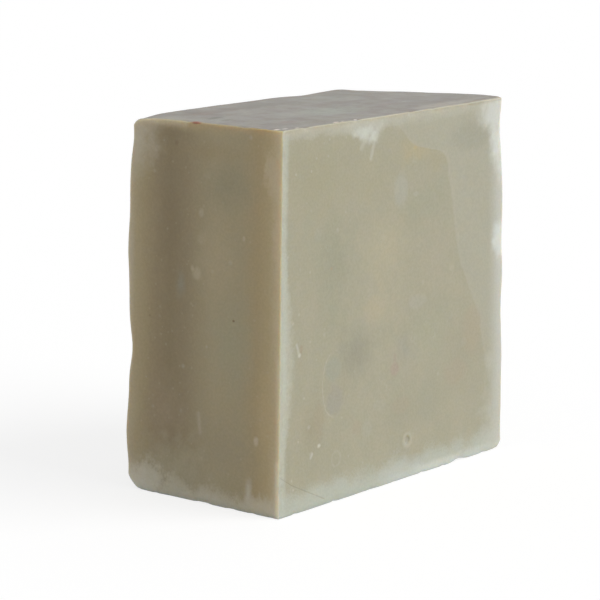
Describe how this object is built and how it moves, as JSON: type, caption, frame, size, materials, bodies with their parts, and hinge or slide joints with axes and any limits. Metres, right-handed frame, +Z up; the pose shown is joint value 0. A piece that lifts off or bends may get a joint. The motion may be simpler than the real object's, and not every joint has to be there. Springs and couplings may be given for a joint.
{
  "type": "bar of soap",
  "caption": "Upright cut bar of hand-made soap, one solid block with knife-sharp near edges and softened far edges.",
  "frame": {"origin": "middle of the overall size, on the plane that the bar stands on", "axes": "+X to the right along the broad cut face, +Y through the bar to its back, its shortest way, +Z up"},
  "size_m": [0.065, 0.0343, 0.0644],
  "materials": {
    "soap": "waxy, with a pale dusty bloom"
  },
  "bodies": {
    "root": {"soap_bar": "soap"}
  },
  "joints": []
}
